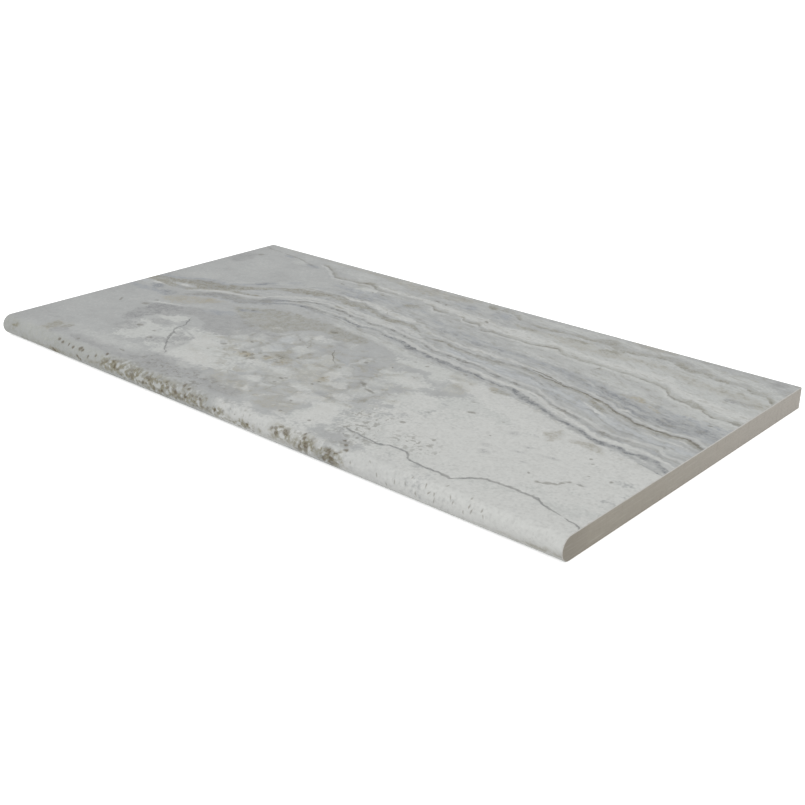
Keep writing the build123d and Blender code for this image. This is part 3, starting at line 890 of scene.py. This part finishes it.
def bare_porcelain(colours):
    """Unglazed body: fine grains, faint marks left by the saw, and painted light that makes it lighter toward
    the back edge and darker over the nose end.
    """
    bench = Bench("bare_porcelain")
    place = bench.place()
    depth = bench.add("ShaderNodeSeparateXYZ", {}, {"Vector": place}, "Y")
    grain = bench.grain(place, (0.9, 0.9), 41, 3.0)
    cloud = bench.grain(place, (24, 24), 42, 3.0)
    sockets = {"Vector": place, "Scale": (1, 1, 0.06)}
    upright = bench.add("ShaderNodeMapping", {"vector_type": "POINT"}, sockets)
    saw = bench.grain(upright, (2.6, 2.6), 43, 2.0)
    # Painted light: the bare faces grow lighter toward the back edge.
    colour = bench.mix(colours.body, colours.body_back_painted_light, bench.ramp(depth, -160.0, 165.0))
    # Painted shade: the bare faces darken over the nose end.
    colour = bench.mix(colour, colours.body_dark_grain_and_shade, 0.6 * bench.ramp(depth, -128.0, -162.0))
    colour = bench.mix(colour, colours.body_dark_grain_and_shade, 0.35 * bench.ramp(grain, 0.52, 0.32))
    colour = bench.mix(colour, colours.body_dark_grain_and_shade, 0.16 * bench.ramp(saw, 0.46, 0.30))
    colour = bench.mix(colour, colours.body_cloud, 0.35 * bench.ramp(cloud, 0.5, 0.7))
    return bench.surface(colour, 0.72 + 0.2 * grain, grain + saw * 0.4, 0.05 * MM)


def ground_glaze(colours):
    """Pale colour along the ground arris, patched toward the body colour."""
    bench = Bench("ground_glaze")
    place = bench.place()
    wear = bench.grain(place, (7, 7), 51, 4.0, 0.7)
    colour = bench.mix(colours.slip, colours.body, 0.5 * bench.ramp(wear, 0.5, 0.32))
    return bench.surface(colour, 0.6 + 0.2 * wear, wear, 0.04 * MM)


def nose_crust(along, back):
    """Stone-like crust of the nose, at millimetre places on the unrolled face.

    The first value is 1 on a bump, -1 in a pit and 0 off the crust. The second is how far the crust reaches:
    1 where it is thickest and 0 off it.
    """
    reach = np.zeros_like(along)
    for middle, height, half_along, half_back, strength in NOSE_PITTED:
        inside = 1 - np.hypot((along - middle) / half_along, (back - height) / half_back)
        reach = np.maximum(reach, strength * np.clip(2.5 * inside, 0, 1))
    crust = np.zeros_like(along)
    for row, column in np.argwhere(reach > 0):
        place = Vector((along[row, column], back[row, column], 0))
        lump = sum(share * noise.noise(place / size) for share, size in LUMPS)
        crust[row, column] = np.clip(lump, -1, 1) * reach[row, column]
    return crust, reach


def relief(along, back, crust, reach, sizes):
    """Height of the glazed face in metres, zero or below, at millimetre places on the unrolled face."""
    places = (Vector((a / SWELL_SIZE, b / SWELL_SIZE, 2.0)) for a, b in zip(along.flat, back.flat))
    swell = np.array([noise.noise(place) for place in places]).reshape(along.shape)
    dents = np.clip(0.25 * reach - crust, 0, 1)
    for middle, height, radius in NOSE_PITS:
        away = np.hypot(along - middle, back - height) / (PIT_SPREAD * radius)
        dents = np.maximum(dents, np.clip(1.2 - 1.2 * away, 0, 1))
    for middle, height, _ in NOSE_STROKES:
        away = np.hypot((along - middle) / 1.4, (back - height) / 2.6)
        dents = np.maximum(dents, 0.7 * np.clip(1.2 - 1.2 * away, 0, 1))
    for line, steep in ((FRONT_CRACK, False), (LEFT_CRACK, True)):
        way, side, half = np.array(line).T
        run, across = (back, along) if steep else (along, back)
        width = np.interp(run, way, half, 0, 0)
        gap = np.abs(across - np.interp(run, way, side))
        dents = np.maximum(dents, 0.6 * np.clip(1 - gap / (width + 0.9), 0, 1) * np.clip(width, 0, 1))
    edge = np.minimum(back - back.min(), back.max() - back)
    edge = np.minimum(np.abs(along).max() - np.abs(along), edge)
    fade = np.clip(edge / RELIEF_FADE, 0, 1)
    return -fade * (sizes.swell * (0.5 + 0.5 * swell) + sizes.pit_depth * dents)


def tile_rows(sizes):
    """Places of the glazed face's rows, in metres back from the top of the nose."""
    flat = sizes.depth - sizes.thickness / 2 - sizes.arris
    nose = np.linspace(-math.pi * sizes.thickness / 2, 0, NOSE_ROWS)
    strip = np.linspace(0, STRIP, STRIP_ROWS)
    rest = np.linspace(STRIP, flat, REST_ROWS)
    return np.concatenate([nose, strip[1:], rest[1:]])


def recess_edges(sizes, span, middle):
    """Where the recesses that fit along a span begin and end."""
    pitch = sizes.key_cell + sizes.key_rib
    count = max(1, math.floor((span - 2 * sizes.key_border + sizes.key_rib) / pitch + 1e-6))
    centres = middle + (np.arange(count) - (count - 1) / 2) * pitch
    return np.stack([centres - sizes.key_cell / 2, centres + sizes.key_cell / 2], axis=1).ravel()


class TileMesh:
    """Points and faces of the tile, gathered piece by piece and then welded."""

    def __init__(self):
        self.points = []
        self.faces = []
        self.finishes = []
        self.crust = np.zeros(0)

    def add_points(self, points):
        """Adds an array of points and returns their numbers in the same shape."""
        points = np.asarray(points, float)
        first = len(self.points)
        self.points.extend(map(tuple, points.reshape(-1, 3)))
        return np.arange(first, first + points.size // 3).reshape(points.shape[:-1])

    def add_face(self, corners, finish=BARE):
        self.faces.append([int(corner) for corner in corners])
        self.finishes.append(finish)

    def add_strip(self, near, far, finish=BARE):
        """Quads between two rows of as many points."""
        for i in range(len(near) - 1):
            self.add_face((near[i], near[i + 1], far[i + 1], far[i]), finish)

    def make(self, name):
        mesh = bpy.data.meshes.new(name)
        mesh.from_pydata(self.points, [], self.faces)
        mesh.polygons.foreach_set("material_index", np.array(self.finishes, np.int32))
        crust = np.pad(self.crust, (0, len(self.points) - len(self.crust))).astype(np.float32)
        mesh.attributes.new("crust", "FLOAT", "POINT").data.foreach_set("value", crust)
        welded = bmesh.new()
        welded.from_mesh(mesh)
        bmesh.ops.remove_doubles(welded, verts=welded.verts, dist=WELD)
        bmesh.ops.recalc_face_normals(welded, faces=welded.faces)
        if any(not edge.is_manifold for edge in welded.edges):
            raise RuntimeError("the tile's mesh isn't closed")
        welded.to_mesh(mesh)
        welded.free()
        mesh.polygons.foreach_set("use_smooth", np.ones(len(mesh.polygons), bool))
        mesh.set_sharp_from_angle(angle=SHARP)
        return mesh


def tile_mesh(sizes):
    """The whole tile: glazed face over the nose, ground arrises, sawn ends and back, keyed underside."""
    tile = TileMesh()
    radius = sizes.thickness / 2
    arris = sizes.arris
    flat_front = radius - sizes.depth / 2
    back_edge = sizes.depth / 2
    half = sizes.length / 2 - arris

    # Glazed face, from the underside round the nose to the back arris
    rows = tile_rows(sizes)
    columns = np.linspace(-half, half, round(2 * half / sizes.step) + 1)
    turn = np.clip(-rows / radius, 0, None)
    nought = np.zeros_like(rows)
    lean = np.stack([nought, -np.sin(turn), np.cos(turn)], axis=1)
    middle = np.stack([nought, flat_front + np.clip(rows, 0, None), np.full_like(rows, radius)], axis=1)
    spine = middle + radius * lean
    along, back = np.meshgrid(columns / MM, rows / MM)
    crust, reach = nose_crust(along, back)
    height = relief(along, back, crust, reach, sizes)
    points = spine[:, None, :] + lean[:, None, :] * height[:, :, None]
    points[:, :, 0] = columns
    face = tile.add_points(points)
    tile.crust = crust.ravel()
    for near, far in zip(face[:-1], face[1:]):
        tile.add_strip(near, far, GLAZED)

    # Underside with its recesses
    across = np.concatenate([[-half], recess_edges(sizes, sizes.length, 0), [half]])
    recesses = recess_edges(sizes, back_edge - flat_front, (flat_front + back_edge) / 2)
    depths = np.concatenate([recesses, [back_edge - arris]])
    grid = np.stack([*np.meshgrid(across, depths), np.zeros((len(depths), len(across)))], axis=2)
    under = tile.add_points(grid)
    inset = sizes.key_depth * math.tan(sizes.key_draft)
    for b in range(len(depths) - 1):
        for a in range(len(across) - 1):
            rim = [under[b, a], under[b, a + 1], under[b + 1, a + 1], under[b + 1, a]]
            if a % 2 == 0 or b % 2 == 1:
                tile.add_face(rim)
                continue
            left, right = across[a] + inset, across[a + 1] - inset
            low, high = depths[b] + inset, depths[b + 1] - inset
            corners = ((left, low), (right, low), (right, high), (left, high))
            top = tile.add_points([(x, y, sizes.key_depth) for x, y in corners])
            tile.add_strip([*rim, rim[0]], [*top, top[0]])
            tile.add_face(top)
    tile.add_face([*face[0], *under[0][::-1]])

    # Back edge between its two arrises
    upper = tile.add_points([(x, back_edge, sizes.thickness - arris) for x in columns])
    lower = tile.add_points([(x, back_edge, arris) for x in across])
    tile.add_strip(face[-1], upper, GROUND)
    tile.add_strip(under[-1], lower)
    tile.add_face([*upper, *lower[::-1]])

    # Sawn ends, each inside its arris
    for side, sign in ((0, -1), (-1, 1)):
        ring = [*face[:, side], upper[side], lower[side], *under[::-1, side]]
        inward = [*-lean, (0, -1, 0), (0, -1, 0), *[(0, 0, 1)] * len(depths)]
        inner = np.array([tile.points[i] for i in ring]) + arris * np.array(inward)
        inner[:, 0] = sign * sizes.length / 2
        cap = tile.add_points(inner)
        glazed = len(rows)
        tile.add_strip(ring[:glazed], cap[:glazed], GROUND)
        tile.add_strip([*ring[glazed - 1 :], ring[0]], [*cap[glazed - 1 :], cap[0]])
        tile.add_face(cap)
    return tile.make("coping_tile_glazed")


def lay_out_maps(mesh, sizes):
    """Flat layout of the mesh: the glazed face in one sheet, and the bare faces under it."""
    corners = np.empty(len(mesh.loops), np.int32)
    mesh.loops.foreach_get("vertex_index", corners)
    points = np.empty(len(mesh.vertices) * 3)
    mesh.vertices.foreach_get("co", points)
    x, y, z = points.reshape(-1, 3)[corners].T
    counts = np.array([len(face.loop_indices) for face in mesh.polygons])
    bare = np.repeat(np.array([face.material_index for face in mesh.polygons]), counts) != GLAZED
    facing = np.repeat(np.array([face.normal for face in mesh.polygons]), counts, axis=0)
    middle = np.repeat(np.array([face.center for face in mesh.polygons]), counts, axis=0)

    scale = (1 - 2 * MARGIN) / sizes.length
    radius = sizes.thickness / 2
    ahead = radius - sizes.depth / 2 - y
    back = np.clip(-ahead, 0, None) - radius * np.arctan2(np.clip(ahead, 0, None), z - radius)
    across = 0.5 + scale * x
    up = 1 - MARGIN + scale * (back - sizes.depth + radius)
    outer = np.abs(middle[:, 0]) > sizes.length / 2 - sizes.arris
    ends = bare & (np.abs(facing[:, 0]) > 0.6) & (middle[:, 2] > sizes.key_depth / 2) & outer
    rear = bare & ~ends & (facing[:, 1] > 0.6) & (middle[:, 1] > sizes.depth / 2 - sizes.arris)
    under = bare & ~ends & ~rear
    across[ends] = MARGIN + scale * (y[ends] + sizes.depth / 2)
    up[ends] = ENDS_UP + scale * z[ends] + np.where(middle[ends, 0] > 0, 0, ENDS_PITCH)
    across[rear] = MARGIN + UNDER_WIDE * scale * (x[rear] + sizes.length / 2)
    up[rear] = BACK_UP + UNDER_WIDE * scale * z[rear]
    across[under] = MARGIN + UNDER_WIDE * scale * (x[under] + sizes.length / 2)
    up[under] = UNDER_UP + UNDER_HIGH * scale * (y[under] + sizes.depth / 2)
    layout = mesh.uv_layers.new(name="OFBake")
    layout.data.foreach_set("uv", np.stack([across, up], axis=1).astype(np.float32).ravel())


class COPING_OT_tile(bpy.types.Operator):
    """Build the glazed tile in place of its plain solid"""

    bl_idname = "coping.tile"
    bl_label = "Build Tile"

    def execute(self, context):
        settings = context.scene.coping
        mesh = tile_mesh(settings.sizes)
        lay_out_maps(mesh, settings.sizes)
        mesh.materials.append(printed_glaze(settings.sizes, settings.colours))
        mesh.materials.append(bare_porcelain(settings.colours))
        mesh.materials.append(ground_glaze(settings.colours))
        tile = bpy.data.objects.new("coping_tile_glazed", mesh)
        context.scene.collection.objects.link(tile)
        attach(tile, "root")
        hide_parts("coping_tile")
        return {"FINISHED"}


class COPING_OT_stage(bpy.types.Operator):
    """Lay the floor, light it and aim the camera"""

    bl_idname = "coping.stage"
    bl_label = "Set Stage"

    def execute(self, context):
        stage = context.scene.coping.stage
        self.lay_floor(context, stage)
        self.light(context, stage)
        self.aim_camera(context, stage)
        context.scene.view_settings.view_transform = "Standard"
        return {"FINISHED"}

    @staticmethod
    def lay_floor(context, stage):
        mesh = bpy.data.meshes.new("floor")
        corners = [(FLOOR_REACH * x, FLOOR_REACH * y, 0) for x, y in ((-1, -1), (1, -1), (1, 1), (-1, 1))]
        mesh.from_pydata(corners, [], [(0, 1, 2, 3)])
        bench = Bench("pale_floor")
        place = bench.add("ShaderNodeTexCoord", {}, {}, "Object")
        speckle = bench.grain(place, (FLOOR_GRAIN, FLOOR_GRAIN), 51)
        colour = bench.mix(stage.floor, stage.floor_speck, 0.2 * speckle)
        matt = bench.add("ShaderNodeBsdfDiffuse", {}, {"Color": colour}, "BSDF")
        glow = bench.add("ShaderNodeEmission", {}, {"Color": (1, 1, 1), "Strength": FLOOR_GLOW}, "Emission")
        white = bench.add("ShaderNodeAddShader", {}, {0: matt, 1: glow}, 0)
        straight, mirrored, through = bench.add(
            "ShaderNodeLightPath", {}, {}, "Is Camera Ray", "Is Glossy Ray", "Is Transmission Ray"
        )
        seen = straight | mirrored | through
        shader = bench.add("ShaderNodeMixShader", {}, {0: seen, 1: matt, 2: white}, 0)
        bench.add("ShaderNodeOutputMaterial", {}, {"Surface": shader})
        mesh.materials.append(bench.material)
        floor = bpy.data.objects.new("floor", mesh)
        context.scene.collection.objects.link(floor)

    @staticmethod
    def light(context, stage):
        world = bpy.data.worlds.new("even_light")
        world.use_nodes = True
        background = world.node_tree.nodes["Background"]
        background.inputs["Color"].default_value = (1, 1, 1, 1)
        background.inputs["Strength"].default_value = stage.sky
        context.scene.world = world
        lamp = bpy.data.lights.new("broad_lamp", "SUN")
        lamp.energy = stage.lamp
        lamp.angle = LAMP_SPREAD
        holder = bpy.data.objects.new("broad_lamp", lamp)
        holder.rotation_euler = Vector(LAMP_SIDE).to_track_quat("Z", "Y").to_euler()
        context.scene.collection.objects.link(holder)

    @staticmethod
    def aim_camera(context, stage):
        level = math.cos(stage.elevation)
        side = math.sin(stage.azimuth) * level
        front = -math.cos(stage.azimuth) * level
        backward = Vector((side, front, math.sin(stage.elevation)))
        flat_right = Vector((0, 0, 1)).cross(backward).normalized()
        flat_up = backward.cross(flat_right)
        right = flat_right * math.cos(stage.roll) + flat_up * math.sin(stage.roll)
        up = flat_up * math.cos(stage.roll) - flat_right * math.sin(stage.roll)
        place = backward * stage.distance + right * CAMERA_RIGHT - up * CAMERA_DOWN
        camera = bpy.data.cameras.new("camera")
        camera.lens = stage.lens
        camera.sensor_width = FILM_WIDTH
        camera.clip_end = SIGHT
        holder = bpy.data.objects.new("camera", camera)
        holder.matrix_world = Matrix.Translation(place) @ Matrix((right, up, backward)).transposed().to_4x4()
        context.scene.collection.objects.link(holder)
        context.scene.camera = holder


class COPING_PT_panel(bpy.types.Panel):
    """Sizes, colours and steps of the coping tile"""

    bl_label = "Coping Tile"
    bl_space_type = "VIEW_3D"
    bl_region_type = "UI"
    bl_category = "Coping"

    def draw(self, context):
        settings = context.scene.coping
        for title, group, operator in (
            ("Sizes", settings.sizes, None),
            ("Colours", settings.colours, COPING_OT_tile.bl_idname),
            ("Stage", settings.stage, COPING_OT_stage.bl_idname),
        ):
            self.layout.label(text=title)
            for name in group.__annotations__:
                self.layout.prop(group, name)
            if operator:
                self.layout.operator(operator)


CLASSES = (
    CopingSizes,
    CopingColours,
    CopingStage,
    CopingSettings,
    COPING_OT_tile,
    COPING_OT_stage,
    COPING_PT_panel,
)


def register():
    for cls in CLASSES:
        bpy.utils.register_class(cls)
    bpy.types.Scene.coping = PointerProperty(type=CopingSettings)


def unregister():
    del bpy.types.Scene.coping
    for cls in reversed(CLASSES):
        bpy.utils.unregister_class(cls)


def main():
    register()
    bpy.ops.coping.tile()
    bpy.ops.coping.stage()


if __name__ == "__main__":
    main()
